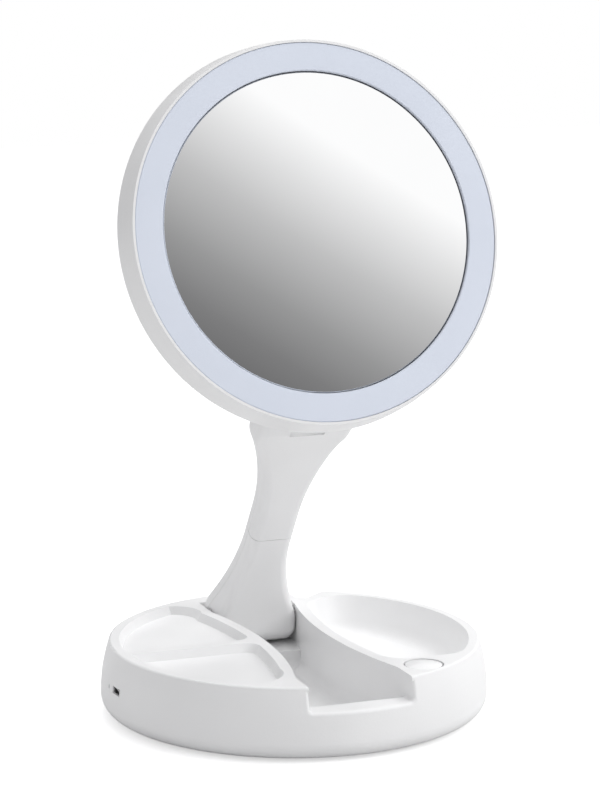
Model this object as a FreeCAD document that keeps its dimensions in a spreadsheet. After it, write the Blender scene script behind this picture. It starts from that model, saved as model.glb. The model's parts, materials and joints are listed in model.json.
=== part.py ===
import FreeCAD, Part
import math
import os
import Sketcher
from FreeCAD import Placement, Rotation, Vector

# Lighted tabletop mirror. Millimetres, +Z up, -Y to the front, origin under the centre of the base.

SIZES = {
    # base shell
    "base_radius": 92.5,
    "base_height": 35.0,
    "base_bottom": 1.0,
    "bottom_inset": 8.5,
    "base_wide_level": 9.5,
    "rim_inset": 3.7,
    "rim_round": 1.4,
    "shell_wall": 2.4,
    "deck_thickness": 6.2,
    # arm channel, notch, well and hinge pocket
    "channel_depth": 11.3,
    "channel_gap": 4.7,
    "channel_flare": 24.0,
    "notch_gap": 1.2,
    "notch_round": 1.5,
    "channel_round": 2.0,
    "sill": 14.0,
    "well_rear": 40.0,
    "well_depth": 28.0,
    "well_round": 5.0,
    "pocket_gap": 0.8,
    "pocket_front": 20.0,
    "pocket_room": 14.0,
    "pocket_depth": 19.2,
    "pocket_wall": 4.0,
    "shoulder_angle": 127.0,
    "shoulder_depth": 4.4,
    "cheek": 5.0,
    # trays
    "tray_wall": 5.2,
    "tray_depth": 3.8,
    "tray_rim": 5.4,
    "tray_divider": 6.5,
    "tray_divider_shift": -1.0,
    "bowl_depth": 17.0,
    "bowl_inset": 8.0,
    "bowl_round": 9.0,
    "bowl_rear_corner": 20.0,
    "bowl_corner": 14.0,
    "tray_corner": 6.0,
    "tray_inset": 2.2,
    # power button
    "button_inset": 11.1,
    "button_angle": -60.3,
    "button_radius": 8.6,
    "button_gap": 0.9,
    "button_web": 2.0,
    "button_well": 3.2,
    "button_rise": 0.9,
    "button_dome": 1.2,
    "button_stem": 3.0,
    "button_travel": 1.0,
    "slide_gap": 0.15,
    # power inlet
    "inlet_shift": -7.2,
    "inlet_level": 19.0,
    "inlet_width": 8.4,
    "inlet_height": 3.4,
    "socket_gap": 0.2,
    "socket_wall": 0.3,
    "socket_mouth": 1.3,
    "socket_depth": 5.6,
    "socket_back": 1.0,
    "pinhole_shift": 2.3,
    "pinhole_radius": 1.0,
    "guide_inset": 0.9,
    "guide_length": 6.0,
    # bottom cover, feet and screws
    "cover_inset": 4.0,
    "cover_thickness": 2.2,
    "cover_gap": 0.25,
    "foot_pad_inset": 14.0,
    "foot_pad_radius": 6.0,
    "foot_pad_height": 2.0,
    "screw_radius": 1.4,
    "screw_head_radius": 2.7,
    "screw_head_height": 1.6,
    "screw_socket": 0.7,
    "screw_length": 9.0,
    "boss_radius": 4.0,
    # inner pieces
    "board_thickness": 1.6,
    "board_margin": 5.7,
    "switch_board_half": 9.7,
    "charge_board_inset": 7.0,
    "charge_board_length": 18.0,
    "switch_width": 6.0,
    "switch_height": 3.1,
    "cell_radius": 9.2,
    "cell_length": 65.0,
    "cell_cap": 1.5,
    "seat_gap": 0.05,
    # foot hinge
    "pivot_inset": 31.0,
    "pivot_z": 29.5,
    "pin_radius": 3.0,
    "pin_gap": 0.05,
    "pin_inset": 0.5,
    "washer_thickness": 0.6,
    # arm
    "arm_lean": 34.55,
    "arm_reach": 141.5,
    "arm_offset": 5.5,
    "arm_half_thickness": 7.2,
    "arm_wall": 2.2,
    "arm_waist": 10.9,
    "arm_foot": 21.2,
    "arm_top": 24.0,
    "arm_round": 4.6,
    "arm_outline_round": 16.0,
    "arm_profile_round": 4.5,
    "arm_screw_sink": 1.2,
    "parting_gap": 0.16,
    "foot_cavity": 9.0,
    "foot_flare_start": 5.0,
    "waist_length": 18.0,
    "top_flare_length": 54.0,
    "fork_length": 15.0,
    "nose_front": -4.8,
    "nose_length": 20.0,
    "heel_level": 46.0,
    "seam_rise": 3.0,
    "seam_width": 0.3,
    "sleeve_half": 9.0,
    # head hinge
    "fork_half": 8.8,
    "fork_depth": 9.6,
    "knuckle_radius": 5.2,
    "head_pin_radius": 2.2,
    "lug_gap": 0.9,
    "lug_inset": 10.25,
    # head
    "head_tilt": 16.0,
    "head_depth": 20.0,
    "head_standoff": 17.5,
    "head_side_radius": 91.0,
    "head_side_bend": 140.0,
    "head_round": 4.0,
    "head_wall": 2.2,
    "lip_taper": 2.2,
    "lip_width": 1.4,
    "ring_width": 12.8,
    "ring_thickness": 2.6,
    "ring_recess": 0.5,
    "mirror_gap": 0.4,
    "mirror_thickness": 3.0,
    "mirror_recess": 1.4,
    "mirror_bevel": 0.6,
    "ring_edge": 0.4,
    "carrier_thickness": 2.3,
    "carrier_edge": 2.0,
    "carrier_screw_inset": 16.2,
    "led_board_half": 4.2,
    "led_standoff": 3.0,
    "led_width": 2.8,
    "led_length": 3.5,
    "led_height": 1.0,
}
FEET = 4
LEDS = 24
CARRIER_SCREWS = 6

doc = FreeCAD.newDocument("lighted_mirror")
sheet = doc.addObject("Spreadsheet::Sheet", "Sizes")
for row, (alias, value) in enumerate(SIZES.items(), start=1):
    sheet.set(f"A{row}", alias)
    sheet.set(f"B{row}", str(value))
    sheet.setAlias(f"B{row}", alias)
doc.recompute()


class Size:
    """A number together with the sheet formula that gives it."""

    def __init__(self, number, formula):
        self.number = float(number)
        self.formula = formula

    def __add__(self, other):
        other = size(other)
        return Size(self.number + other.number, f"({self.formula} + {other.formula})")

    def __sub__(self, other):
        other = size(other)
        return Size(self.number - other.number, f"({self.formula} - {other.formula})")

    def __mul__(self, other):
        other = size(other)
        return Size(self.number * other.number, f"({self.formula} * {other.formula})")

    def __truediv__(self, other):
        other = size(other)
        return Size(self.number / other.number, f"({self.formula} / {other.formula})")

    def __neg__(self):
        return Size(-self.number, f"(0 - {self.formula})")

    def __radd__(self, other):
        return size(other) + self

    def __rsub__(self, other):
        return size(other) - self

    def __rmul__(self, other):
        return size(other) * self


def size(value):
    return value if isinstance(value, Size) else Size(value, repr(float(value)))


def sine(angle):
    return Size(math.sin(math.radians(angle.number)), f"sin({angle.formula})")


def cosine(angle):
    return Size(math.cos(math.radians(angle.number)), f"cos({angle.formula})")


def root(value):
    return Size(math.sqrt(value.number), f"sqrt({value.formula})")


class Sheet:
    """The sheet's sizes by name."""

    def __getattr__(self, alias):
        return Size(sheet.get(alias), f"Sizes.{alias}")


the = Sheet()


def bind(item, field, value):
    item.setExpression(field, size(value).formula)


def fix_point(sketch, edge, end, x, y):
    """Hold a sketch point at x, y from the origin."""
    for kind, axis, value in (("DistanceX", -2, x), ("DistanceY", -1, y)):
        if value.number == 0:
            sketch.addConstraint(Sketcher.Constraint("PointOnObject", edge, end, axis))
        else:
            rule = sketch.addConstraint(Sketcher.Constraint(kind, -1, 1, edge, end, value.number))
            bind(sketch, f"Constraints[{rule}]", value)


def fix_radius(sketch, edge, radius):
    rule = sketch.addConstraint(Sketcher.Constraint("Radius", edge, radius.number))
    bind(sketch, f"Constraints[{rule}]", radius)


def outline(sketch, points):
    """Closed outline. A third value makes the edge to that point an arc: left bend above zero, right bend below."""
    points = [tuple(size(value) for value in point) for point in points]
    edges = []
    for here, there in zip([points[-1]] + points[:-1], points):
        start = Vector(here[0].number, here[1].number)
        stop = Vector(there[0].number, there[1].number)
        ends = (1, 2)
        curve = Part.LineSegment(start, stop)
        if len(there) == 3:
            bend = there[2].number
            chord = stop - start
            rise = math.sqrt(max(bend * bend - chord.Length**2 / 4, 0))
            side = Vector(-chord.y, chord.x).normalize()
            centre = (start + stop) / 2 + side * math.copysign(rise, bend)
            if bend < 0:
                start, stop, ends = stop, start, (2, 1)
            turn = [math.atan2(p.y - centre.y, p.x - centre.x) for p in (start, stop)]
            whole = Part.Circle(centre, Vector(0, 0, 1), abs(bend))
            curve = Part.ArcOfCircle(whole, turn[0], turn[1])
        edges.append((sketch.addGeometry(curve, False), ends, there))
    for (edge, ends, point), (after, after_ends, _) in zip(edges, edges[1:] + edges[:1]):
        sketch.addConstraint(Sketcher.Constraint("Coincident", edge, ends[1], after, after_ends[0]))
        fix_point(sketch, edge, ends[1], point[0], point[1])
        if len(point) == 3:
            fix_radius(sketch, edge, point[2] if point[2].number > 0 else -point[2])


def rectangle(sketch, left, right, low, high):
    outline(sketch, [(left, low), (right, low), (right, high), (left, high)])


def circle(sketch, x, y, radius):
    x, y, radius = size(x), size(y), size(radius)
    ring = Part.Circle(Vector(x.number, y.number), Vector(0, 0, 1), radius.number)
    edge = sketch.addGeometry(ring, False)
    fix_point(sketch, edge, 3, x, y)
    fix_radius(sketch, edge, radius)


def new_body(label):
    body = doc.addObject("PartDesign::Body", label)
    body.Label = label
    return body


def new_sketch(body, role, name, level=0):
    """Sketch on one of the body's own planes, moved along the plane's normal by level."""
    sketch = body.newObject("Sketcher::SketchObject", f"{body.Name}_{name}")
    plane = [item for item in body.Origin.OriginFeatures if item.Role == role][0]
    sketch.AttachmentSupport = [(plane, "")]
    sketch.MapMode = "FlatFace"
    bind(sketch, "AttachmentOffset.Base.z", level)
    return sketch


def extrude(body, kind, sketch, length, reverse=False, both=False):
    feature = body.newObject(f"PartDesign::{kind}", f"{sketch.Name}_{kind}")
    feature.Profile = sketch
    feature.Reversed = reverse
    if both:
        feature.SideType = "Symmetric"
    bind(feature, "Length", length)
    sketch.Visibility = False
    return feature


def pad(body, sketch, length, **options):
    return extrude(body, "Pad", sketch, length, **options)


def pocket(body, sketch, length, **options):
    return extrude(body, "Pocket", sketch, length, **options)


def revolve(body, sketch):
    feature = body.newObject("PartDesign::Revolution", f"{sketch.Name}_Revolution")
    feature.Profile = sketch
    feature.ReferenceAxis = (sketch, ["V_Axis"])
    feature.Angle = 360
    sketch.Visibility = False
    return feature


def round_edges(body, radius, wanted):
    """Round those edges of the body so far whose middle point and shape are wanted."""
    doc.recompute()
    base = body.Tip
    names = [f"Edge{n}" for n, edge in enumerate(base.Shape.Edges, start=1) if wanted(edge)]
    feature = body.newObject("PartDesign::Fillet", f"{body.Name}_round{len(body.Group)}")
    feature.Base = (base, names)
    bind(feature, "Radius", radius)
    return feature


def middle(edge):
    return edge.valueAt((edge.FirstParameter + edge.LastParameter) / 2)


def polar(count, radius, first=0.0):
    """Points evenly spread on a circle, from a first angle in degrees."""
    turns = [math.radians(first + 360.0 * n / count) for n in range(count)]
    return [(radius * math.cos(turn), radius * math.sin(turn)) for turn in turns]


def join(label, pieces):
    group = doc.addObject("Part::Compound", label)
    group.Label = label
    group.Links = pieces
    return group


def boolean(kind, label, base, tool):
    result = doc.addObject(f"Part::{kind}", label)
    result.Label = label
    result.Base = base
    result.Tool = tool
    return result


def bend_between(across, along):
    """Radius of an arc that starts straight and has moved across by the time it has gone along."""
    return (across * across + along * along) / (2 * across)


# Levels and outlines that several pieces share
wall = the.shell_wall
top = the.base_height
rim_radius = the.base_radius - the.rim_inset
bottom_radius = the.base_radius - the.bottom_inset
cover_radius = bottom_radius - the.cover_inset
tray_radius = rim_radius - the.tray_wall
deck_under = top - the.deck_thickness
channel_floor = top - the.channel_depth
well_floor = top - the.well_depth
pocket_floor = top - the.pocket_depth
cover_top = the.base_bottom + the.cover_thickness
channel_waist = the.arm_waist + the.channel_gap
notch_half = the.arm_top + the.notch_gap
pocket_half = the.arm_foot + the.pocket_gap
pivot_y = the.base_radius - the.pivot_inset
pocket_rear = pivot_y + the.pocket_room
channel_front = the.channel_flare - the.base_radius
channel_arc = bend_between(notch_half - channel_waist, channel_front)
well_front = the.sill - the.base_radius
channel_centre = channel_waist + channel_arc
pocket_flare = pocket_half - channel_waist
channel_rear = root(2 * channel_arc * pocket_flare - pocket_flare * pocket_flare)
button_circle = rim_radius - the.button_inset
button_x = button_circle * cosine(the.button_angle)
button_y = button_circle * sine(the.button_angle)


def channel_side(y, out):
    """Half width of the channel at y, moved out by a wall."""
    return channel_centre - root(channel_arc * channel_arc - y * y) + out


def channel_points(out, front, rear):
    """Hourglass outline of the arm channel, moved out by a wall."""
    wide = notch_half + out
    narrow = pocket_half + out
    right = [(wide, front), (wide, channel_front), (narrow, channel_rear, -channel_arc), (narrow, rear)]
    left = [(-narrow, rear), (-narrow, channel_rear), (-wide, channel_front, -channel_arc), (-wide, front)]
    return right + left


def well_points(out):
    """Outline of the deep part of the channel, behind the sill, moved out by a wall."""
    front = [(notch_half + out, well_front - out), (notch_half + out, channel_front)]
    rear = the.well_rear + out
    rear_half = channel_side(rear, out)
    right = front + [(rear_half, rear, -channel_arc)]
    left = [(-rear_half, rear), (-notch_half - out, channel_front, -channel_arc)]
    return right + left + [(-notch_half - out, well_front - out)]


# Base housing: round shell with a deck, seen as a section on one side of the axis
base = new_body("base_housing")
section = new_sketch(base, "XZ_Plane", "section")
low_round = bend_between(the.base_radius - bottom_radius, the.base_wide_level - the.base_bottom)
side_round = bend_between(the.base_radius - rim_radius, top - the.rim_round - the.base_wide_level)
cover_hole = cover_radius + the.cover_gap
outline(
    section,
    [
        (cover_hole, the.base_bottom),
        (bottom_radius, the.base_bottom),
        (the.base_radius, the.base_wide_level, low_round),
        (rim_radius, top - the.rim_round, side_round),
        (rim_radius - the.rim_round, top, the.rim_round),
        (0, top),
        (0, deck_under),
        (rim_radius - wall, deck_under),
        (the.base_radius - wall, the.base_wide_level, -side_round),
        (cover_radius - wall / 2, cover_top + wall),
        (cover_radius - wall / 2, cover_top),
        (cover_hole, cover_top),
    ],
)
revolve(base, section)

# Walls under the channel, its well, the hinge pocket and the bowl
channel_block = new_sketch(base, "XY_Plane", "channel_block", channel_floor - wall)
merge = wall / 3
block_radius = rim_radius + merge


def on_block(half):
    """How far ahead of the centre the block's round end is, at a half width."""
    return root(block_radius * block_radius - half * half)


block_wide = notch_half + wall
block_narrow = pocket_half + wall
block_points = channel_points(wall, -on_block(block_wide), on_block(block_narrow))
block_points[0] += (block_radius,)
block_points[4] += (block_radius,)
outline(channel_block, block_points)
pad(base, channel_block, deck_under + merge - channel_floor + wall)
well_block = new_sketch(base, "XY_Plane", "well_block", well_floor - wall)
outline(well_block, well_points(wall))
pad(base, well_block, channel_floor - well_floor)
pocket_block = new_sketch(base, "XY_Plane", "pocket_block", pocket_floor - wall)
pocket_out = pocket_half + the.pocket_wall
rectangle(pocket_block, -pocket_out, pocket_out, the.pocket_front - wall, pocket_rear + wall)
pad(base, pocket_block, the.pocket_depth - the.deck_thickness + wall * 2)

# Centres of the bowl's three rounded corners, each as far as its radius from the two sides that it joins
bowl_front = button_y + the.button_radius + the.button_gap + the.button_web
bowl_side = channel_arc - the.tray_rim
rear_reach = tray_radius - the.bowl_rear_corner
rear_side = bowl_side - the.bowl_rear_corner
rear_x = (rear_reach * rear_reach - rear_side * rear_side + channel_centre * channel_centre) / (2 * channel_centre)
rear_y = root(rear_reach * rear_reach - rear_x * rear_x)
corner_y = bowl_front + the.bowl_corner
outer_reach = tray_radius - the.bowl_corner
outer_x = root(outer_reach * outer_reach - corner_y * corner_y)
inner_reach = bowl_side - the.bowl_corner
inner_x = channel_centre - root(inner_reach * inner_reach - corner_y * corner_y)


def bowl_points(out):
    """Outline of the bowl at the rim, moved out by a wall."""
    outer = tray_radius + out
    side = bowl_side + out
    rear = the.bowl_rear_corner + out
    corner = the.bowl_corner + out
    turn = side / rear_side
    slant = side / inner_reach
    return [
        (channel_centre + (rear_x - channel_centre) * turn, rear_y * turn, rear),
        (channel_centre + (inner_x - channel_centre) * slant, corner_y * slant, side),
        (inner_x, bowl_front - out, corner),
        (outer_x, bowl_front - out),
        (outer_x * outer / outer_reach, corner_y * outer / outer_reach, corner),
        (rear_x * outer / rear_reach, rear_y * outer / rear_reach, outer),
    ]


def level_loft(kind, name, upper, upper_level, lower, lower_level):
    """Loft between an outline at one level of the base and the same outline at a lower level."""
    sections = []
    for word, points, level in (("rim", upper, upper_level), ("floor", lower, lower_level)):
        sections.append(new_sketch(base, "XY_Plane", f"{name}_{word}", level))
        outline(sections[-1], points)
        sections[-1].Visibility = False
    feature = base.newObject(f"PartDesign::{kind}", f"{name}_{kind}")
    feature.Profile = sections[1]
    feature.Sections = [sections[0]]
    feature.Ruled = True
    return feature


bowl_floor = top - the.bowl_depth
level_loft(
    "AdditiveLoft",
    "bowl_wall",
    bowl_points(wall),
    deck_under + wall,
    bowl_points(wall - the.bowl_inset),
    bowl_floor - wall,
)

# Hollows in the deck
channel = new_sketch(base, "XY_Plane", "channel", top)
outline(channel, channel_points(0, -the.base_radius, pocket_rear))
pocket(base, channel, the.channel_depth)
channel_well = new_sketch(base, "XY_Plane", "channel_well", top)
outline(channel_well, well_points(size(0)))
pocket(base, channel_well, the.well_depth)
hinge_pocket = new_sketch(base, "XY_Plane", "hinge_pocket", top)
pocket_mouth = channel_side(the.pocket_front, 0)
outline(
    hinge_pocket,
    [
        (pocket_mouth, the.pocket_front),
        (pocket_half, channel_rear, -channel_arc),
        (pocket_half, pocket_rear),
        (-pocket_half, pocket_rear),
        (-pocket_half, channel_rear),
        (-pocket_mouth, the.pocket_front, -channel_arc),
    ],
)
pocket(base, hinge_pocket, the.pocket_depth)

# Lower step behind the bowl: its edge goes round the bowl's rear corner, then straight out over the rim
shoulder = new_sketch(base, "XY_Plane", "shoulder", top)
shoulder_bend = the.bowl_rear_corner + the.tray_rim
cheek_x = pocket_half + the.cheek
cheek_y = rear_y + root(shoulder_bend * shoulder_bend - (cheek_x - rear_x) * (cheek_x - rear_x))
leave_x = rear_x + shoulder_bend * cosine(the.shoulder_angle)
leave_y = rear_y + shoulder_bend * sine(the.shoulder_angle)
outside = the.base_radius / 2
outline(
    shoulder,
    [
        (cheek_x, cheek_y),
        (leave_x, leave_y, -shoulder_bend),
        (leave_x + outside * sine(the.shoulder_angle), leave_y - outside * cosine(the.shoulder_angle)),
        (cheek_x, leave_y + outside),
    ],
)
pocket(base, shoulder, the.shoulder_depth)
level_loft("SubtractiveLoft", "bowl", bowl_points(0), top, bowl_points(-the.bowl_inset), bowl_floor)

tray_bend = channel_arc - the.tray_rim
tray_floor = top - the.tray_depth


def rear_tray_points(inset):
    """Outline of the rear compartment at the rim, moved in by its sloping wall."""
    line = the.tray_divider_shift + the.tray_divider / 2 + inset
    turn = tray_radius * 0.67
    outer = tray_radius - inset
    rim = the.tray_rim + inset
    corner = the.tray_corner
    return [
        (-root(outer * outer - line * line), line, outer),
        (-channel_side(line, rim) - corner, line),
        (-channel_side(line + corner, rim), line + corner, corner),
        (-channel_side(turn, rim), turn, tray_bend),
        (outer * -0.46, outer * 0.8879, tray_radius / 6),
    ]


def front_tray_points(inset):
    """Outline of the front compartment at the rim, moved in by its sloping wall."""
    line = the.tray_divider_shift - the.tray_divider / 2 - inset
    turn = tray_radius * -0.61
    outer = tray_radius - inset
    rim = the.tray_rim + inset
    corner = the.tray_corner
    return [
        (-root(outer * outer - line * line), line),
        (outer * -0.54, outer * -0.8417, outer),
        (-channel_side(turn, rim), turn, tray_radius * 0.215),
        (-channel_side(line - corner, rim), line - corner, tray_bend),
        (-channel_side(line, rim) - corner, line, corner),
    ]


for name, points in (("rear_tray", rear_tray_points), ("front_tray", front_tray_points)):
    level_loft("SubtractiveLoft", name, points(size(0)), top, points(the.tray_inset), tray_floor)

# Button well with its guide hole, power inlet, pinhole and pin holes
well = new_sketch(base, "XY_Plane", "button_well", top)
circle(well, button_x, button_y, the.button_radius + the.button_gap)
pocket(base, well, the.button_well)
guide = new_sketch(base, "XY_Plane", "button_guide", top)
circle(guide, button_x, button_y, the.button_stem + the.slide_gap)
pocket(base, guide, the.deck_thickness + wall)
inlet = new_sketch(base, "YZ_Plane", "inlet", -the.base_radius)
inlet_half = the.inlet_width / 2
inlet_rise = the.inlet_height / 2
rectangle(
    inlet,
    the.inlet_shift - inlet_half,
    the.inlet_shift + inlet_half,
    the.inlet_level - inlet_rise,
    the.inlet_level + inlet_rise,
)
pocket(base, inlet, wall * 2, reverse=True)
pinhole = new_sketch(base, "YZ_Plane", "pinhole", -the.base_radius)
circle(pinhole, the.pinhole_shift, the.inlet_level, the.pinhole_radius + the.seat_gap)
pocket(base, pinhole, wall * 2, reverse=True)
pin_hole = new_sketch(base, "YZ_Plane", "pin_hole")
circle(pin_hole, pivot_y, the.pivot_z, the.pin_radius + the.seat_gap)
pocket(base, pin_hole, 2 * pocket_out, both=True)

# Screw bosses that meet the bottom cover
FRONT_BOSSES = [(cover_radius * -0.45, cover_radius * -0.725)]
LEFT_BOSSES = [(cover_radius * -0.8, cover_radius * side) for side in (-0.425, 0.425)]
RIGHT_BOSSES = [(cover_radius * 0.7, cover_radius * side) for side in (-0.275, 0.35)]
BOSSES = LEFT_BOSSES + RIGHT_BOSSES + FRONT_BOSSES
for name, places, under in (
    ("left_boss", LEFT_BOSSES, deck_under),
    ("right_boss", RIGHT_BOSSES, bowl_floor - wall),
    ("front_boss", FRONT_BOSSES, deck_under),
):
    posts = new_sketch(base, "XY_Plane", name, cover_top + the.seat_gap)
    for x, y in places:
        circle(posts, x, y, the.boss_radius)
    pad(base, posts, under - cover_top + wall / 2)
threads = new_sketch(base, "XY_Plane", "threads", cover_top)
for x, y in BOSSES:
    circle(threads, x, y, the.screw_radius + the.seat_gap)
pocket(base, threads, the.screw_length, reverse=True)


def lies_at(edge, level):
    """Whether an edge lies flat at a level."""
    return edge.BoundBox.ZLength < 0.01 and abs(middle(edge).z - level.number) < 0.01


def notch_lip(edge):
    point = middle(edge)
    at_side = abs(abs(point.x) - notch_half.number) < 0.05
    upright = edge.BoundBox.XLength < 0.5 and edge.BoundBox.ZLength > 4
    above_sill = point.z > channel_floor.number
    return at_side and upright and above_sill and point.y < channel_front.number - wall.number


def sill_side(edge):
    point = middle(edge)
    return lies_at(edge, channel_floor) and abs(point.x) > 1 and point.y < well_front.number


# Rounded outer lips of the front notch, then the rounded floors of the sill, the well and the bowl
round_edges(base, the.notch_round, notch_lip)
round_edges(base, the.channel_round, sill_side)
round_edges(base, the.well_round, lambda edge: lies_at(edge, well_floor))
round_edges(base, the.bowl_round, lambda edge: lies_at(edge, bowl_floor))

# Bottom cover with its feet recesses, screw holes, battery ribs and board posts
cover = new_body("base_cover")
plate = new_sketch(cover, "XY_Plane", "plate", the.base_bottom)
circle(plate, 0, 0, cover_radius)
pad(cover, plate, the.cover_thickness)
FOOT_PLACES = polar(FEET, cover_radius - the.foot_pad_inset, 45.0)
recess = new_sketch(cover, "XY_Plane", "recess", the.base_bottom)
for x, y in FOOT_PLACES:
    circle(recess, x, y, the.foot_pad_radius + the.seat_gap)
pocket(cover, recess, the.foot_pad_height - the.base_bottom, reverse=True)
holes = new_sketch(cover, "XY_Plane", "holes", the.base_bottom)
head_sinks = new_sketch(cover, "XY_Plane", "sinks", the.base_bottom)
for x, y in BOSSES:
    circle(holes, x, y, the.screw_radius + the.cover_gap)
    circle(head_sinks, x, y, the.screw_head_radius + the.cover_gap)
pocket(cover, holes, the.cover_thickness, reverse=True)
pocket(cover, head_sinks, the.screw_head_height, reverse=True)
cell_x = cover_radius * -0.55
rib_reach = the.cell_length * 0.37
ribs = new_sketch(cover, "XY_Plane", "ribs", cover_top)
for side in (-1, 1):
    rib = cell_x + side * (the.cell_radius + wall / 2)
    rectangle(ribs, rib - wall / 4, rib + wall / 4, -rib_reach, rib_reach)
pad(cover, ribs, the.cell_radius)
stem_end = deck_under - wall
switch_board_level = (
    stem_end - the.button_travel - the.slide_gap - the.switch_height - the.board_thickness
)
inlet_board_level = the.inlet_level - inlet_rise + the.socket_gap - the.board_thickness
post_shift = the.switch_board_half - 2 * wall
post_y = button_y + the.switch_board_half - wall
post_x = the.charge_board_inset + the.charge_board_length - 2 * wall - the.base_radius
board_front = the.inlet_shift - inlet_half - the.board_margin
board_rear = the.pinhole_shift + the.board_margin
for name, places, level in (
    ("switch_posts", [(button_x - post_shift, post_y), (button_x + post_shift, post_y)], switch_board_level),
    ("inlet_posts", [(post_x, board_front + wall), (post_x, board_rear - wall)], inlet_board_level),
):
    posts = new_sketch(cover, "XY_Plane", name, cover_top)
    for x, y in places:
        circle(posts, x, y, wall)
    pad(cover, posts, level - cover_top - the.seat_gap)

# Power button: shallow dome on a stem
button = new_body("power_button")
dome = new_sketch(button, "XZ_Plane", "dome")
button_under = top - the.button_well + the.button_travel + the.slide_gap
rise = the.button_dome
dome_bend = bend_between(rise, the.button_radius)
outline(
    dome,
    [
        (0, stem_end),
        (the.button_stem, stem_end),
        (the.button_stem, button_under),
        (the.button_radius, button_under),
        (the.button_radius, top + the.button_rise - rise),
        (0, top + the.button_rise, dome_bend),
    ],
)
revolve(button, dome)
bind(button, "Placement.Base.x", button_x)
bind(button, "Placement.Base.y", button_y)


def block(label, left, right, front, rear, low, high):
    """Box between two corners."""
    box = doc.addObject("Part::Box", label)
    box.Label = label
    bind(box, "Length", size(right) - left)
    bind(box, "Width", size(rear) - front)
    bind(box, "Height", size(high) - low)
    bind(box, "Placement.Base.x", left)
    bind(box, "Placement.Base.y", front)
    bind(box, "Placement.Base.z", low)
    return box


TURNS = {"x": Rotation(Vector(0, 1, 0), 90), "y": Rotation(Vector(1, 0, 0), -90), "z": Rotation()}


def rod(label, radius, length, x, y, z, along):
    """Cylinder that starts at a point and runs along an axis."""
    bar = doc.addObject("Part::Cylinder", label)
    bar.Label = label
    bar.Placement = Placement(Vector(), TURNS[along])
    bind(bar, "Radius", radius)
    bind(bar, "Height", length)
    bind(bar, "Placement.Base.x", x)
    bind(bar, "Placement.Base.y", y)
    bind(bar, "Placement.Base.z", z)
    return bar


def fuse(label, pieces):
    whole = doc.addObject("Part::MultiFuse", label)
    whole.Label = label
    whole.Shapes = pieces
    return whole


def screw(label, x, y, z, along, length, back=False):
    """Screw with a driver socket. The head's outer face is at the point, the shank runs along the axis."""
    sign = -1 if back else 1
    lead = {axis: size(1 if axis == along else 0) for axis in "xyz"}

    def shifted(distance):
        return [here + lead[axis] * distance * sign for axis, here in zip("xyz", map(size, (x, y, z)))]

    head_start = the.screw_head_height if back else size(0)
    shank_start = length if back else the.screw_head_height
    head = rod(f"{label}_head", the.screw_head_radius, the.screw_head_height, *shifted(head_start), along)
    shank = rod(f"{label}_shank", the.screw_radius, length - the.screw_head_height, *shifted(shank_start), along)
    whole = fuse(f"{label}_blank", [head, shank])
    socket_start = the.screw_socket if back else size(0)
    socket = rod(f"{label}_socket", the.screw_radius, the.screw_socket, *shifted(socket_start), along)
    return boolean("Cut", label, whole, socket)


# Screws and feet of the cover
cover_screws = [
    screw(f"cover_screw_{n}", x, y, the.base_bottom, "z", the.screw_length)
    for n, (x, y) in enumerate(BOSSES)
]
join("base_screws", cover_screws)
pads = [
    rod(f"foot_pad_{n}", the.foot_pad_radius, the.foot_pad_height, x, y, 0, "z")
    for n, (x, y) in enumerate(FOOT_PLACES)
]
join("rubber_feet", pads)

# Boards, switch, inlet, indicator and battery inside the base
control_board = block(
    "control_board",
    button_x - the.switch_board_half,
    button_x + the.switch_board_half,
    button_y - the.switch_width,
    button_y + the.switch_board_half,
    switch_board_level,
    switch_board_level + the.board_thickness,
)
switch_low = switch_board_level + the.board_thickness
switch_half = the.switch_width / 2
switch_case = block(
    "switch_case",
    button_x - switch_half,
    button_x + switch_half,
    button_y - switch_half,
    button_y + switch_half,
    switch_low,
    switch_low + the.switch_height * 0.75,
)
plunger = rod(
    "switch_plunger", switch_half / 2, the.switch_height, button_x, button_y, switch_low, "z"
)
tact_switch = fuse("tact_switch", [switch_case, plunger])
board_top = inlet_board_level + the.board_thickness
charge_left = the.charge_board_inset - the.base_radius
charge_board = block(
    "charge_board",
    charge_left,
    charge_left + the.charge_board_length,
    board_front,
    board_rear,
    inlet_board_level,
    board_top,
)
socket_low = board_top + the.seat_gap
socket_high = the.inlet_level + inlet_rise - the.socket_gap
socket_left = the.inlet_shift - inlet_half + the.socket_gap
socket_right = the.inlet_shift + inlet_half - the.socket_gap
socket_front = the.socket_mouth - the.base_radius
socket_back = socket_front + the.socket_depth
socket_wall = the.socket_wall
shell = block("socket_shell", socket_front, socket_back, socket_left, socket_right, socket_low, socket_high)
mouth = block(
    "socket_mouth",
    socket_front,
    socket_back - the.socket_back,
    socket_left + socket_wall,
    socket_right - socket_wall,
    socket_low + socket_wall,
    socket_high - socket_wall,
)
tongue = block(
    "socket_tongue",
    socket_front + the.socket_back,
    socket_back - the.socket_back / 2,
    the.inlet_shift - inlet_half / 2,
    the.inlet_shift + inlet_half / 2,
    the.inlet_level - socket_wall,
    the.inlet_level + socket_wall,
)
power_inlet = fuse("power_inlet", [boolean("Cut", "socket_case", shell, mouth), tongue])
guide_start = the.guide_inset - the.base_radius
guide_end = guide_start + the.guide_length
guide_foot = block(
    "light_guide_foot",
    guide_end - 2 * the.pinhole_radius,
    guide_end + the.pinhole_radius,
    the.pinhole_shift - the.pinhole_radius,
    the.pinhole_shift + the.pinhole_radius,
    socket_low,
    the.inlet_level,
)
guide_rod = rod(
    "light_guide_rod",
    the.pinhole_radius,
    the.guide_length,
    guide_start,
    the.pinhole_shift,
    the.inlet_level,
    "x",
)
charge_light = fuse("charge_light", [guide_foot, guide_rod])
cell_level = cover_top + the.cell_radius + the.seat_gap
cell_can = rod("cell_can", the.cell_radius, the.cell_length, cell_x, the.cell_length / -2, cell_level, "y")
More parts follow.
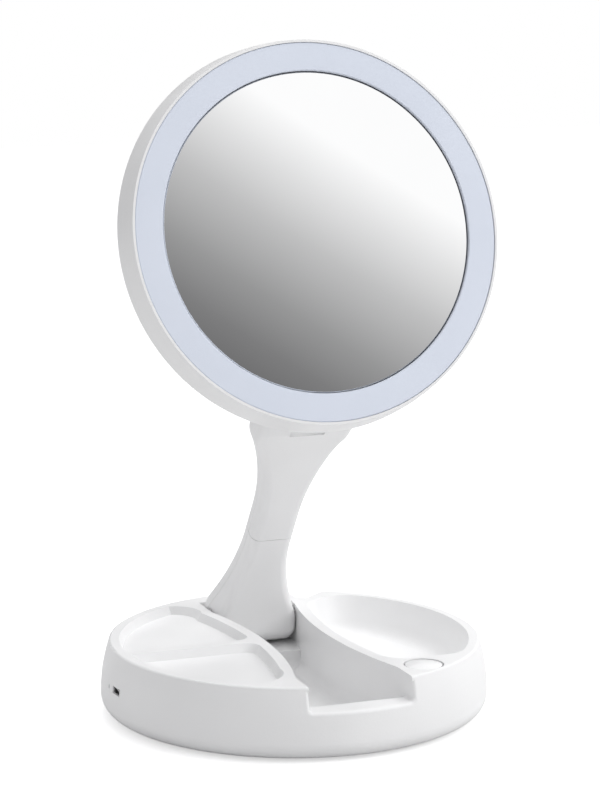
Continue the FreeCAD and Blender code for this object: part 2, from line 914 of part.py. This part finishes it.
cell_cap = rod("cell_cap", the.cell_radius / 3, the.cell_cap, cell_x, the.cell_length / 2, cell_level, "y")
battery_cell = fuse("battery_cell", [cell_can, cell_cap])


def tube(label, radius, bore, length, x, y, z, along):
    """Ring or sleeve that starts at a point and runs along an axis."""
    bar = rod(f"{label}_bar", radius, length, x, y, z, along)
    hole = rod(f"{label}_hole", bore, length, x, y, z, along)
    return boolean("Cut", label, bar, hole)


def washer_pair(label, radius, bore, low, high, y, z):
    """Two washers, each in the middle of the gap between low and high on its side."""
    near = (low + high - the.washer_thickness) / 2
    rings = [
        tube(f"{label}_{n}", radius, bore, the.washer_thickness, start, y, z, "x")
        for n, start in enumerate((near, -near - the.washer_thickness))
    ]
    return join(label, rings)


pin_half = pocket_out - the.pin_inset
foot_hinge_pin = rod(
    "foot_hinge_pin", the.pin_radius, 2 * pin_half, -pin_half, pivot_y, the.pivot_z, "x"
)
foot_washers = washer_pair(
    "foot_washers",
    the.pin_radius * 2,
    the.pin_radius + the.pin_gap * 2,
    the.arm_foot,
    pocket_half,
    pivot_y,
    the.pivot_z,
)


# Arm, drawn upright with the foot hinge at its origin, +Z along the arm and +Y to its rear
def stand(item, y, z, angle):
    """Turn a piece about the X axis and put its origin at y, z."""
    item.Placement = Placement(Vector(0, y.number, z.number), Rotation(Vector(1, 0, 0), angle.number))
    bind(item, "Placement.Base.y", y)
    bind(item, "Placement.Base.z", z)
    bind(item, "Placement.Rotation.Angle", angle)


arm_rear = the.arm_offset + the.arm_half_thickness
arm_front = the.arm_offset - the.arm_half_thickness
fork_floor = the.arm_reach - the.fork_depth
flare_end = the.arm_reach - the.fork_length
waist_end = flare_end - the.top_flare_length
waist_start = waist_end - the.waist_length
seam_level = waist_start + the.seam_rise
nose_start = the.arm_reach - the.knuckle_radius * 1.5
foot_bend = bend_between(the.arm_foot - the.arm_waist, waist_start - the.foot_flare_start)
top_bend = bend_between(the.arm_top - the.arm_waist, the.top_flare_length)
nose_bend = bend_between(arm_front - the.nose_front, the.nose_length)
heel_bend = bend_between(arm_front + arm_rear, the.heel_level)


def arm_form(label, inset, rounded=False):
    """Hourglass front outline crossed with the side profile, both moved in by a wall."""
    foot, waist, head = the.arm_foot - inset, the.arm_waist - inset, the.arm_top - inset
    reach = arm_rear - inset
    face = new_body(f"{label}_face")
    front_view = new_sketch(face, "XZ_Plane", "outline")
    far = the.arm_reach + arm_rear * 2
    right = [
        (foot, -arm_rear * 2),
        (foot, the.foot_flare_start),
        (waist, waist_start, -foot_bend),
        (waist, waist_end),
        (head, flare_end, -top_bend),
        (head, far),
    ]
    left = [
        (-head, far),
        (-head, flare_end),
        (-waist, waist_end, -top_bend),
        (-waist, waist_start),
        (-foot, the.foot_flare_start, -foot_bend),
        (-foot, -arm_rear * 2),
    ]
    outline(front_view, right + left)
    pad(face, front_view, arm_rear * 4, both=True)
    profile = new_body(f"{label}_profile")
    side_view = new_sketch(profile, "YZ_Plane", "outline")
    nose = the.nose_front + inset
    tip = the.arm_reach + root(reach * reach - nose * nose)
    outline(
        side_view,
        [
            (0, -reach, reach),
            (reach, 0, reach),
            (reach, the.arm_reach),
            (nose, tip, reach),
            (nose, nose_start),
            (arm_front + inset, nose_start - the.nose_length, -nose_bend),
            (arm_front + inset, the.heel_level),
            (-reach, 0, -heel_bend),
        ],
    )
    pad(profile, side_view, the.arm_top * 4, both=True)
    if rounded:
        corners = (the.foot_flare_start.number, flare_end.number)
        round_edges(
            face,
            the.arm_outline_round,
            lambda edge: edge.BoundBox.YLength > arm_rear.number
            and min(abs(middle(edge).z - z) for z in corners) < 0.01,
        )
        bends = (0.0, nose_start.number, tip.number)
        round_edges(
            profile,
            the.arm_profile_round,
            lambda edge: edge.BoundBox.XLength > the.arm_top.number
            and middle(edge).y < 0
            and min(abs(middle(edge).z - z) for z in bends) < 0.01,
        )
    return boolean("Common", f"{label}_form", face, profile)


arm_skin = new_body("arm_skin")
arm_skin.BaseFeature = arm_form("arm_outer", size(0), rounded=True)
round_edges(
    arm_skin,
    the.arm_round,
    lambda edge: edge.BoundBox.ZLength > the.parting_gap.number
    and abs(middle(edge).x) > the.arm_waist.number / 2,
)
beyond = 2 * the.arm_top
room = block("arm_room", -beyond, beyond, -beyond, beyond, the.foot_cavity, fork_floor - the.arm_wall)
cavity = boolean("Common", "arm_cavity", arm_form("arm_inner", the.arm_wall), room)
upper_length = fork_floor - seam_level
ARM_SCREWS = [seam_level / 2, seam_level + upper_length * 0.4, seam_level + upper_length * 0.76]
arm_posts = [
    rod(f"arm_post_{n}", the.boss_radius, 4 * arm_rear, 0, -2 * arm_rear, level, "y")
    for n, level in enumerate(ARM_SCREWS)
]
hollow = boolean("Cut", "arm_hollow", cavity, fuse("arm_posts", arm_posts))
sink_face = arm_rear - the.screw_head_height - the.arm_screw_sink
bore_end = sink_face + the.screw_head_height - the.screw_length
sinks = [
    rod(f"arm_sink_{n}", the.screw_head_radius + the.cover_gap, arm_rear, 0, sink_face, level, "y")
    for n, level in enumerate(ARM_SCREWS)
]
arm_bores = [
    rod(f"arm_bore_{n}", the.screw_radius + the.seat_gap, the.screw_length, 0, bore_end, level, "y")
    for n, level in enumerate(ARM_SCREWS)
]
foot_bore = rod("foot_bore", the.pin_radius + the.pin_gap, 2 * beyond, -beyond, 0, 0, "x")
head_bore = rod("head_bore", the.head_pin_radius + the.pin_gap, 2 * beyond, -beyond, 0, the.arm_reach, "x")
fork = block(
    "fork_gap", -the.fork_half, the.fork_half, -beyond, beyond, fork_floor, the.arm_reach + beyond
)
arm_voids = fuse("arm_voids", [hollow, foot_bore, head_bore, fork] + sinks + arm_bores)
seam_half = the.seam_width / 2
parting = the.parting_gap / 2
for label, front, rear, low, high in (
    ("lower_arm_front", -beyond, the.arm_offset - parting, -beyond, seam_level - seam_half),
    ("lower_arm_rear", the.arm_offset + parting, beyond, -beyond, seam_level - seam_half),
    ("upper_arm_front", -beyond, the.arm_offset - parting, seam_level + seam_half, the.arm_reach + beyond),
    ("upper_arm_rear", the.arm_offset + parting, beyond, seam_level + seam_half, the.arm_reach + beyond),
):
    span = block(f"{label}_span", -beyond, beyond, front, rear, low, high)
    shell = boolean("Cut", label, boolean("Common", f"{label}_blank", arm_skin, span), arm_voids)
    stand(shell, pivot_y, the.pivot_z, the.arm_lean)

plug_low = seam_level - the.sleeve_half
plug_high = seam_level + the.sleeve_half
plug_span = block("plug_span", -beyond, beyond, -beyond, beyond, plug_low, plug_high)
plug = boolean("Common", "plug_blank", arm_form("plug_outer", the.arm_wall + the.seat_gap), plug_span)
arm_sleeve = boolean("Cut", "arm_sleeve", plug, arm_form("plug_inner", the.arm_wall * 2))
arm_screws = join(
    "arm_screws",
    [
        screw(
            f"arm_screw_{n}", 0, sink_face + the.screw_head_height, level, "y", the.screw_length, back=True
        )
        for n, level in enumerate(ARM_SCREWS)
    ],
)
lug_half = the.fork_half - the.lug_gap
head_washers = washer_pair(
    "head_washers",
    the.knuckle_radius - the.cover_gap,
    the.head_pin_radius + the.pin_gap * 2,
    lug_half,
    the.fork_half,
    0,
    the.arm_reach,
)
pin_length = 2 * (the.arm_top - the.pin_inset)
head_hinge_pin = rod(
    "head_hinge_pin", the.head_pin_radius, pin_length, pin_length / -2, 0, the.arm_reach, "x"
)
for piece in (arm_sleeve, arm_screws, head_washers):
    stand(piece, pivot_y, the.pivot_z, the.arm_lean)
hinge_y = pivot_y - the.arm_reach * sine(the.arm_lean)
hinge_z = the.pivot_z + the.arm_reach * cosine(the.arm_lean)
bind(head_hinge_pin, "Placement.Base.y", hinge_y)
bind(head_hinge_pin, "Placement.Base.z", hinge_z)

# Head, drawn upright with the centre of its front lip at the origin and +Y to its back
face_ahead = the.head_depth + the.head_standoff
head_drop = the.head_side_radius - the.lug_inset
lip_radius = the.head_side_radius - the.lip_taper
ring_outer = lip_radius - the.lip_width
ring_inner = ring_outer - the.ring_width
mirror_radius = ring_inner - the.mirror_gap
led_circle = (ring_inner + ring_outer) / 2
face_y = hinge_y + head_drop * sine(the.head_tilt) - face_ahead * cosine(the.head_tilt)
face_z = hinge_z + head_drop * cosine(the.head_tilt) + face_ahead * sine(the.head_tilt)
back = the.head_depth
inner_back = the.head_depth - the.head_wall
ring_back = the.ring_recess + the.ring_thickness
ledge = ring_back + the.seat_gap
mirror_back = the.mirror_recess + the.mirror_thickness
carrier_front = mirror_back + the.seat_gap
carrier_back = carrier_front + the.carrier_thickness
board_back = inner_back - the.led_standoff
lip_bore = ring_outer + the.cover_gap
ledge_in = lip_bore - the.head_wall
stand_in = led_circle + the.led_board_half / 2
stand_out = stand_in + the.head_wall

housing = new_body("head_housing")
section = new_sketch(housing, "XY_Plane", "section")
outline(
    section,
    [
        (lip_bore, 0),
        (lip_radius, 0),
        (the.head_side_radius, back - the.head_round, the.head_side_bend),
        (the.head_side_radius - the.head_round, back, the.head_round),
        (0, back),
        (0, inner_back),
        (stand_in, inner_back),
        (stand_in, board_back),
        (stand_out, board_back),
        (stand_out, inner_back),
        (the.head_side_radius - the.head_round - the.head_wall / 2, inner_back),
        (the.head_side_radius - the.head_wall, inner_back - the.head_round),
        (lip_radius - the.head_wall / 2, ledge + the.head_wall * 1.5),
        (ledge_in, ledge + the.head_wall),
        (ledge_in, ledge),
        (lip_bore, ledge),
    ],
)
revolve(housing, section)
CARRIER_PLACES = polar(CARRIER_SCREWS, mirror_radius - the.carrier_screw_inset, 30.0)
head_posts = new_sketch(housing, "XZ_Plane", "posts", -inner_back - the.head_wall / 2)
for x, z in CARRIER_PLACES:
    circle(head_posts, x, z, the.boss_radius)
pad(housing, head_posts, inner_back + the.head_wall / 2 - carrier_back - the.seat_gap)
head_threads = new_sketch(housing, "XZ_Plane", "threads", -carrier_back)
for x, z in CARRIER_PLACES:
    circle(head_threads, x, z, the.screw_radius + the.seat_gap)
pocket(housing, head_threads, the.screw_length)
lug_level = head_drop - the.head_wall
LUG_SIDES = (lug_half * -0.55, lug_half * 0.55)
lug_holes = new_sketch(housing, "XZ_Plane", "lug_holes", -inner_back)
for x in LUG_SIDES:
    circle(lug_holes, x, -lug_level, the.screw_radius + the.seat_gap)
pocket(housing, lug_holes, the.head_wall)

carrier = new_body("mirror_carrier")
section = new_sketch(carrier, "XY_Plane", "section")
outline(
    section,
    [
        (0, carrier_front),
        (ring_inner, carrier_front),
        (ring_inner, ledge),
        (ring_inner + the.carrier_edge, ledge),
        (ring_inner + the.carrier_edge, carrier_back),
        (0, carrier_back),
    ],
)
revolve(carrier, section)
carrier_holes = new_sketch(carrier, "XZ_Plane", "holes", -carrier_front)
carrier_sinks = new_sketch(carrier, "XZ_Plane", "sinks", -carrier_front)
for x, z in CARRIER_PLACES:
    circle(carrier_holes, x, z, the.screw_radius + the.cover_gap)
    circle(carrier_sinks, x, z, the.screw_head_radius + the.cover_gap)
pocket(carrier, carrier_holes, the.carrier_thickness)
pocket(carrier, carrier_sinks, the.screw_head_height)

mirror = new_body("front_mirror")
section = new_sketch(mirror, "XY_Plane", "section")
outline(
    section,
    [
        (0, the.mirror_recess),
        (mirror_radius - the.mirror_bevel, the.mirror_recess),
        (mirror_radius, the.mirror_recess + the.mirror_bevel),
        (mirror_radius, mirror_back),
        (0, mirror_back),
    ],
)
revolve(mirror, section)

light = new_body("light_ring")
section = new_sketch(light, "XY_Plane", "section")
outline(
    section,
    [
        (ring_inner, the.ring_recess + the.ring_edge),
        (ring_inner + the.ring_edge, the.ring_recess, -the.ring_edge),
        (ring_outer - the.ring_edge, the.ring_recess),
        (ring_outer, the.ring_recess + the.ring_edge, -the.ring_edge),
        (ring_outer, ring_back),
        (ring_inner, ring_back),
    ],
)
revolve(light, section)

led_front = board_back - the.seat_gap - the.board_thickness
led_board = new_body("led_board")
section = new_sketch(led_board, "XY_Plane", "section")
board_in = led_circle - the.led_board_half
board_out = led_circle + the.led_board_half
rectangle(section, board_in, board_out, led_front, led_front + the.board_thickness)
revolve(led_board, section)

leds = []
for n in range(LEDS):
    turn = 360.0 * n / LEDS
    chip = doc.addObject("Part::Box", f"led_{n}")
    chip.Placement = Placement(Vector(), Rotation(Vector(0, 1, 0), -turn))
    across, along = math.cos(math.radians(turn)), math.sin(math.radians(turn))
    bind(chip, "Length", the.led_width)
    bind(chip, "Width", the.led_height)
    bind(chip, "Height", the.led_length)
    near = led_circle - the.led_width / 2
    bind(chip, "Placement.Base.x", near * across + the.led_length / 2 * along)
    bind(chip, "Placement.Base.y", led_front - the.led_height)
    bind(chip, "Placement.Base.z", near * along - the.led_length / 2 * across)
    leds.append(chip)
leds = join("leds", leds)

carrier_screws = join(
    "carrier_screws",
    [
        screw(f"carrier_screw_{n}", x, carrier_front, z, "y", the.screw_length)
        for n, (x, z) in enumerate(CARRIER_PLACES)
    ],
)

# Lug on the back of the head, which sits in the fork of the arm
lug = new_body("hinge_lug")
lug_view = new_sketch(lug, "YZ_Plane", "outline")
knuckle = the.knuckle_radius
outline(
    lug_view,
    [
        (back, -head_drop - knuckle * 0.7),
        (face_ahead, -head_drop - knuckle),
        (face_ahead + knuckle, -head_drop, knuckle),
        (face_ahead, knuckle - head_drop, knuckle),
        (back, knuckle * 1.7 - head_drop),
    ],
)
pad(lug, lug_view, 2 * lug_half, both=True)
lug_bore = new_sketch(lug, "YZ_Plane", "bore")
circle(lug_bore, face_ahead, -head_drop, the.head_pin_radius + the.pin_gap)
pocket(lug, lug_bore, 4 * lug_half, both=True)
lug_threads = new_sketch(lug, "XZ_Plane", "threads", -back)
for x in LUG_SIDES:
    circle(lug_threads, x, -lug_level, the.screw_radius + the.seat_gap)
pocket(lug, lug_threads, the.screw_length - the.head_wall)
lug_screws = join(
    "lug_screws",
    [
        screw(
            f"lug_screw_{n}", x, inner_back - the.screw_head_height, -lug_level, "y", the.screw_length
        )
        for n, x in enumerate(LUG_SIDES)
    ],
)
for piece in (housing, carrier, mirror, light, led_board, leds, carrier_screws, lug, lug_screws):
    stand(piece, face_y, face_z, -the.head_tilt)

doc.recompute()

PIECES = """
base_housing base_cover base_screws rubber_feet control_board tact_switch charge_board power_inlet
charge_light battery_cell foot_hinge_pin foot_washers power_button lower_arm_front lower_arm_rear
upper_arm_front upper_arm_rear arm_sleeve arm_screws head_washers head_hinge_pin head_housing hinge_lug
lug_screws mirror_carrier front_mirror light_ring led_board leds carrier_screws
""".split()
for item in doc.Objects:
    if "Invalid" in item.State or "Error" in item.State:
        raise RuntimeError(f"{item.Label} is not built: {item.State}")
os.makedirs("parts", exist_ok=True)
for label in PIECES:
    shape = doc.getObjectsByLabel(label)[0].Shape
    if shape.isNull() or not shape.isValid():
        raise RuntimeError(f"{label} has no valid shape")
    shape.exportStep(f"parts/{label}.step")
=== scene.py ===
import json
import math

import bpy
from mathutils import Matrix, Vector

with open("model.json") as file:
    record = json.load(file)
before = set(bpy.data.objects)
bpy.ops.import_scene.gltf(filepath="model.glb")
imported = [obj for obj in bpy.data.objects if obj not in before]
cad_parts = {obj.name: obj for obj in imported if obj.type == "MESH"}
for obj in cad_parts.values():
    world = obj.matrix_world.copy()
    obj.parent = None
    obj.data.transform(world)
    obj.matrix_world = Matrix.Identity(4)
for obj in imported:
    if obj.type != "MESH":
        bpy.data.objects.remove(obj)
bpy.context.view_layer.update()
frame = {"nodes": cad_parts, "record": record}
nodes = frame["nodes"]
scene = bpy.context.scene

WHITE = (1.0, 1.0, 1.0)


# Node helpers
def new_material(name):
    """A material with its node tree, its shader and object coordinates in metres."""
    material = bpy.data.materials.new(name)
    material.use_nodes = True
    tree = material.node_tree
    shader = tree.nodes["Principled BSDF"]
    coords = tree.nodes.new("ShaderNodeTexCoord")
    return material, tree, shader, coords.outputs["Object"]


def noise(tree, where, scale, detail=3.0, roughness=0.55):
    """Noise texture at a scale in cycles per metre."""
    node = tree.nodes.new("ShaderNodeTexNoise")
    node.inputs["Scale"].default_value = scale
    node.inputs["Detail"].default_value = detail
    node.inputs["Roughness"].default_value = roughness
    tree.links.new(where, node.inputs["Vector"])
    return node.outputs["Fac"]


def spread(tree, value, low, high, start=0.0, stop=1.0):
    """Map a value from start..stop to low..high."""
    node = tree.nodes.new("ShaderNodeMapRange")
    for name, number in (("From Min", start), ("From Max", stop), ("To Min", low), ("To Max", high)):
        node.inputs[name].default_value = number
    tree.links.new(value, node.inputs["Value"])
    return node.outputs["Result"]


def ramp(tree, value, *stops):
    """Colour ramp through (place, colour) stops."""
    node = tree.nodes.new("ShaderNodeValToRGB")
    points = node.color_ramp.elements
    while len(points) < len(stops):
        points.new(0.5)
    for point, (place, colour) in zip(points, stops):
        point.position = place
        point.color = (*colour, 1.0)
    tree.links.new(value, node.inputs["Fac"])
    return node.outputs["Color"]


def bump(tree, shader, height, distance):
    """Fine relief on a surface, as deep as a distance in metres."""
    node = tree.nodes.new("ShaderNodeBump")
    node.inputs["Distance"].default_value = distance
    node.inputs["Strength"].default_value = 1.0
    tree.links.new(height, node.inputs["Height"])
    tree.links.new(node.outputs["Normal"], shader.inputs["Normal"])


# Noise stays mostly inside this band, so colours and sheen are spread over it
NOISE_LOW = 0.3
NOISE_HIGH = 0.7
FLOW_SCALE = 18.0
FLOW_LOW = 0.35
FLOW_HIGH = 0.65
SHEEN_SCALE = 60.0
PLASTIC_GRAIN = 900.0
PLASTIC_DEPTH = 0.00004
RUBBER_GRAIN = 1500.0
RUBBER_DEPTH = 0.00012
TURNING_SCALE = 700.0
TURNING_SHADE = 0.8
FINE_DEPTH = 0.00003
TINT_SCALE = 25.0
FROST_SCALE = 2600.0
SMUDGE_SCALE = 14.0
SMUDGE_LOW = 0.35
SMUDGE_HIGH = 0.75


def moulded(name, dark, light, rough, grain=PLASTIC_GRAIN, depth=PLASTIC_DEPTH):
    """Moulded plastic: faint flow marks in the colour, uneven sheen and a fine grain."""
    material, tree, shader, where = new_material(name)
    flow = noise(tree, where, FLOW_SCALE, detail=2.0)
    colour = ramp(tree, flow, (FLOW_LOW, dark), (FLOW_HIGH, light))
    tree.links.new(colour, shader.inputs["Base Color"])
    sheen = noise(tree, where, SHEEN_SCALE, detail=4.0)
    tree.links.new(spread(tree, sheen, *rough, NOISE_LOW, NOISE_HIGH), shader.inputs["Roughness"])
    bump(tree, shader, noise(tree, where, grain, detail=2.0), depth)
    return material


def turned_metal(name, colour, rough):
    """Bright metal with fine turning marks."""
    material, tree, shader, where = new_material(name)
    shader.inputs["Metallic"].default_value = 1.0
    marks = noise(tree, where, TURNING_SCALE, detail=5.0, roughness=0.7)
    dark = tuple(TURNING_SHADE * part for part in colour)
    shade = ramp(tree, marks, (NOISE_LOW, dark), (NOISE_HIGH, colour))
    tree.links.new(shade, shader.inputs["Base Color"])
    tree.links.new(spread(tree, marks, *rough, NOISE_LOW, NOISE_HIGH), shader.inputs["Roughness"])
    bump(tree, shader, marks, FINE_DEPTH)
    return material


def frosted(name, dark, light, rough):
    """Frosted plastic: a faint tint and a very fine frost."""
    material, tree, shader, where = new_material(name)
    tint = noise(tree, where, TINT_SCALE, detail=2.0)
    colour = ramp(tree, tint, (NOISE_LOW, dark), (NOISE_HIGH, light))
    tree.links.new(colour, shader.inputs["Base Color"])
    frost = noise(tree, where, FROST_SCALE)
    tree.links.new(spread(tree, frost, *rough, NOISE_LOW, NOISE_HIGH), shader.inputs["Roughness"])
    bump(tree, shader, frost, FINE_DEPTH)
    return material


def silvered(name, dark, light, rough):
    """Silvered glass with the faintest smudges."""
    material, tree, shader, where = new_material(name)
    shader.inputs["Metallic"].default_value = 1.0
    smudge = noise(tree, where, SMUDGE_SCALE, detail=4.0)
    colour = ramp(tree, smudge, (NOISE_LOW, dark), (NOISE_HIGH, light))
    tree.links.new(colour, shader.inputs["Base Color"])
    tree.links.new(spread(tree, smudge, *rough, SMUDGE_LOW, SMUDGE_HIGH), shader.inputs["Roughness"])
    return material


# Materials of the record's slots: darker colour, lighter colour, lowest and highest roughness
SLOTS = {
    "white_shell": moulded("white_shell", (0.85, 0.85, 0.853), (0.875, 0.875, 0.877), (0.28, 0.40)),
    "inner_plastic": moulded("inner_plastic", (0.70, 0.70, 0.69), (0.76, 0.76, 0.75), (0.5, 0.65)),
    "switch": moulded("switch", (0.02, 0.02, 0.02), (0.035, 0.035, 0.035), (0.4, 0.6)),
    "rubber": moulded(
        "rubber", (0.42, 0.42, 0.41), (0.50, 0.50, 0.49), (0.75, 0.9), RUBBER_GRAIN, RUBBER_DEPTH
    ),
    "board": moulded("board", (0.015, 0.10, 0.03), (0.03, 0.16, 0.05), (0.3, 0.5)),
    "cell": moulded("cell", (0.10, 0.17, 0.32), (0.12, 0.20, 0.36), (0.25, 0.4)),
    "chip": moulded("chip", (0.80, 0.72, 0.35), (0.90, 0.84, 0.5), (0.3, 0.45)),
    "clear": moulded("clear", (0.62, 0.66, 0.66), (0.70, 0.74, 0.74), (0.15, 0.3)),
    "steel": turned_metal("steel", (0.62, 0.62, 0.63), (0.22, 0.4)),
    "diffuser": frosted("diffuser", (0.70, 0.745, 0.84), (0.72, 0.765, 0.86), (0.45, 0.62)),
    "mirror_glass": silvered("mirror_glass", (0.965, 0.967, 0.97), (0.985, 0.987, 0.99), (0.0, 0.03)),
}
for part in frame["record"]["subparts"]:
    mesh = nodes[part["node"]].data
    mesh.materials.clear()
    mesh.materials.append(SLOTS[part["material_slot"]])

# Softened edges on the base housing, and a closer fit of the light ring in its lip
WELD_DISTANCE = 0.00002
EDGE_WIDTH = 0.0007
EDGE_SEGMENTS = 3
EDGE_ANGLE = math.radians(35)
RING_SWELL = 0.00024


def weld(item):
    """Join the points that neighbouring faces share."""
    modifier = item.modifiers.new("weld", "WELD")
    modifier.merge_threshold = WELD_DISTANCE


def even_shading(item):
    """Shade flat faces flat, next to narrow rounded ones."""
    modifier = item.modifiers.new("normals", "WEIGHTED_NORMAL")
    modifier.keep_sharp = False


housing = nodes["base_housing"]
weld(housing)
bevel = housing.modifiers.new("soft_edges", "BEVEL")
bevel.width = EDGE_WIDTH
bevel.segments = EDGE_SEGMENTS
bevel.limit_method = "ANGLE"
bevel.angle_limit = EDGE_ANGLE
bevel.harden_normals = False
even_shading(housing)

ring = nodes["light_ring"]
weld(ring)
swell = ring.modifiers.new("close_fit", "DISPLACE")
swell.strength = RING_SWELL
swell.mid_level = 0.0
even_shading(ring)

# Floor
FLOOR_HALF = 2.6
FLOOR_GRAIN = 40.0
FLOOR_DARK = (0.72, 0.72, 0.72)
FLOOR_LIGHT = (0.75, 0.75, 0.75)
FLOOR_ROUGHNESS = 0.9
FLOOR_GLOW = 0.55
FLOOR_CORNERS = ((-1, -1), (1, -1), (1, 1), (-1, 1))
floor_mesh = bpy.data.meshes.new("floor")
floor_mesh.from_pydata([(FLOOR_HALF * x, FLOOR_HALF * y, 0) for x, y in FLOOR_CORNERS], [], [(0, 1, 2, 3)])
floor = bpy.data.objects.new("floor", floor_mesh)
scene.collection.objects.link(floor)
pale, tree, shader, where = new_material("pale_floor")
grain = noise(tree, where, FLOOR_GRAIN)
floor_colour = ramp(tree, grain, (NOISE_LOW, FLOOR_DARK), (NOISE_HIGH, FLOOR_LIGHT))
tree.links.new(floor_colour, shader.inputs["Base Color"])
shader.inputs["Roughness"].default_value = FLOOR_ROUGHNESS
shader.inputs["Emission Color"].default_value = (*WHITE, 1.0)
seen = tree.nodes.new("ShaderNodeLightPath")
glow = spread(tree, seen.outputs["Is Camera Ray"], 0.0, FLOOR_GLOW)
tree.links.new(glow, shader.inputs["Emission Strength"])
floor_mesh.materials.append(pale)

# Studio surround: white behind the object, and a soft fall-off from white to grey in what the glass reflects
REFLECTED = Vector((0.361, -0.852, 0.380))
BRIGHT_SIDE = Vector((0.65, 0.0, 0.76))
FALL_START = -0.0466
FALL_STOP = 0.0235
FALL_OFF = (
    (0.0, (0.165, 0.165, 0.167)),
    (0.135, (0.211, 0.211, 0.213)),
    (0.32, (0.318, 0.318, 0.320)),
    (0.594, (0.538, 0.538, 0.540)),
    (0.806, (0.768, 0.768, 0.770)),
    (1.0, WHITE),
)
SOFT_LIGHT = (0.635, 0.635, 0.643)


def vector_math(tree, operation, first, second):
    """A vector operation between a socket and a fixed vector."""
    node = tree.nodes.new("ShaderNodeVectorMath")
    node.operation = operation
    tree.links.new(first, node.inputs[0])
    node.inputs[1].default_value = second
    return node


def mix_colours(tree, factor):
    """A colour mix that goes from A to B with a factor."""
    node = tree.nodes.new("ShaderNodeMix")
    node.data_type = "RGBA"
    tree.links.new(factor, node.inputs["Factor"])
    return node


world = bpy.data.worlds.new("studio")
world.use_nodes = True
scene.world = world
tree = world.node_tree
background = tree.nodes["Background"]
coords = tree.nodes.new("ShaderNodeTexCoord")
aim = vector_math(tree, "SUBTRACT", coords.outputs["Generated"], REFLECTED)
lean = vector_math(tree, "DOT_PRODUCT", aim.outputs["Vector"], BRIGHT_SIDE)
fall = spread(tree, lean.outputs["Value"], 0.0, 1.0, FALL_START, FALL_STOP)
rays = tree.nodes.new("ShaderNodeLightPath")
soft = mix_colours(tree, rays.outputs["Is Glossy Ray"])
soft.inputs["A"].default_value = (*SOFT_LIGHT, 1.0)
tree.links.new(ramp(tree, fall, *FALL_OFF), soft.inputs["B"])
shown = tree.nodes.new("ShaderNodeMath")
shown.operation = "MAXIMUM"
tree.links.new(rays.outputs["Is Camera Ray"], shown.inputs[0])
tree.links.new(rays.outputs["Is Transmission Ray"], shown.inputs[1])
behind = mix_colours(tree, shown.outputs["Value"])
tree.links.new(soft.outputs["Result"], behind.inputs["A"])
behind.inputs["B"].default_value = (*WHITE, 1.0)
tree.links.new(behind.outputs["Result"], background.inputs["Color"])
background.inputs["Strength"].default_value = 1.0

# Soft lights: name, place, target and power in watts
PANEL_WIDTH = 1.2
PANELS = (
    ("key", Vector((1.25, -0.95, 1.2)), Vector((0.0, 0.0, 0.15)), 13.8),
    ("overhead", Vector((0.3, 0.5, 1.5)), Vector((0.0, 0.0, 0.05)), 12.0),
)
for name, place, target, power in PANELS:
    lamp = bpy.data.lights.new(name, "AREA")
    lamp.size = PANEL_WIDTH
    lamp.energy = power
    panel = bpy.data.objects.new(name, lamp)
    panel.location = place
    panel.rotation_euler = (target - place).to_track_quat("-Z", "Y").to_euler()
    panel.visible_glossy = False
    scene.collection.objects.link(panel)

# Camera at the photograph's angle
AZIMUTH = math.radians(-20.86)
ELEVATION = math.radians(11.48)
DISTANCE = 1.4
ORBIT_CENTRE = Vector((0.0, 0.0, 0.130))
LOOK_AT = Vector((0.0041, 0.0026, 0.1491))
FOCAL_PIXELS = 2962.4
FRAME_HEIGHT = 800
SENSOR_HEIGHT = 36.0
camera = bpy.data.cameras.new("camera")
camera.sensor_fit = "VERTICAL"
camera.sensor_height = SENSOR_HEIGHT
camera.lens = FOCAL_PIXELS * SENSOR_HEIGHT / FRAME_HEIGHT
view = bpy.data.objects.new("camera", camera)
offset = Vector(
    (
        math.sin(AZIMUTH) * math.cos(ELEVATION),
        -math.cos(AZIMUTH) * math.cos(ELEVATION),
        math.sin(ELEVATION),
    )
)
view.location = ORBIT_CENTRE + DISTANCE * offset
view.rotation_euler = (LOOK_AT - view.location).to_track_quat("-Z", "Y").to_euler()
scene.collection.objects.link(view)
scene.camera = view
scene.view_settings.view_transform = "Standard"
